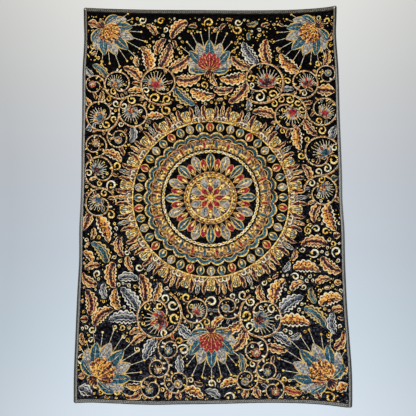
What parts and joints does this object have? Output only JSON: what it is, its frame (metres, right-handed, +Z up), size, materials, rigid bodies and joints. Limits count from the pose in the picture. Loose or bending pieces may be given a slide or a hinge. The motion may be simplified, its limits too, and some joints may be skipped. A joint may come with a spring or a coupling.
{
  "type": "thangka wall hanging, a woven brocade panel with a bound edge",
  "caption": "Tall rectangular jacquard-woven hanging with a thick binding round all its edges, hung flat by its top edge.",
  "frame": {"origin": "middle of the top edge, on the plane of the wall behind it", "axes": "+X to the viewer's right, +Y into the wall, +Z up; the cloth faces -Y"},
  "size_m": [0.6039, 0.0087, 0.9101],
  "materials": {
    "brocade": "jacquard weave, black ground with gold, copper, grey, teal and red floats",
    "binding": "thick taupe yarn stitched side by side over the edge"
  },
  "bodies": {
    "root": {"woven_panel": "brocade", "binding_top": "binding", "binding_bottom": "binding", "binding_left": "binding", "binding_right": "binding"}
  },
  "joints": []
}
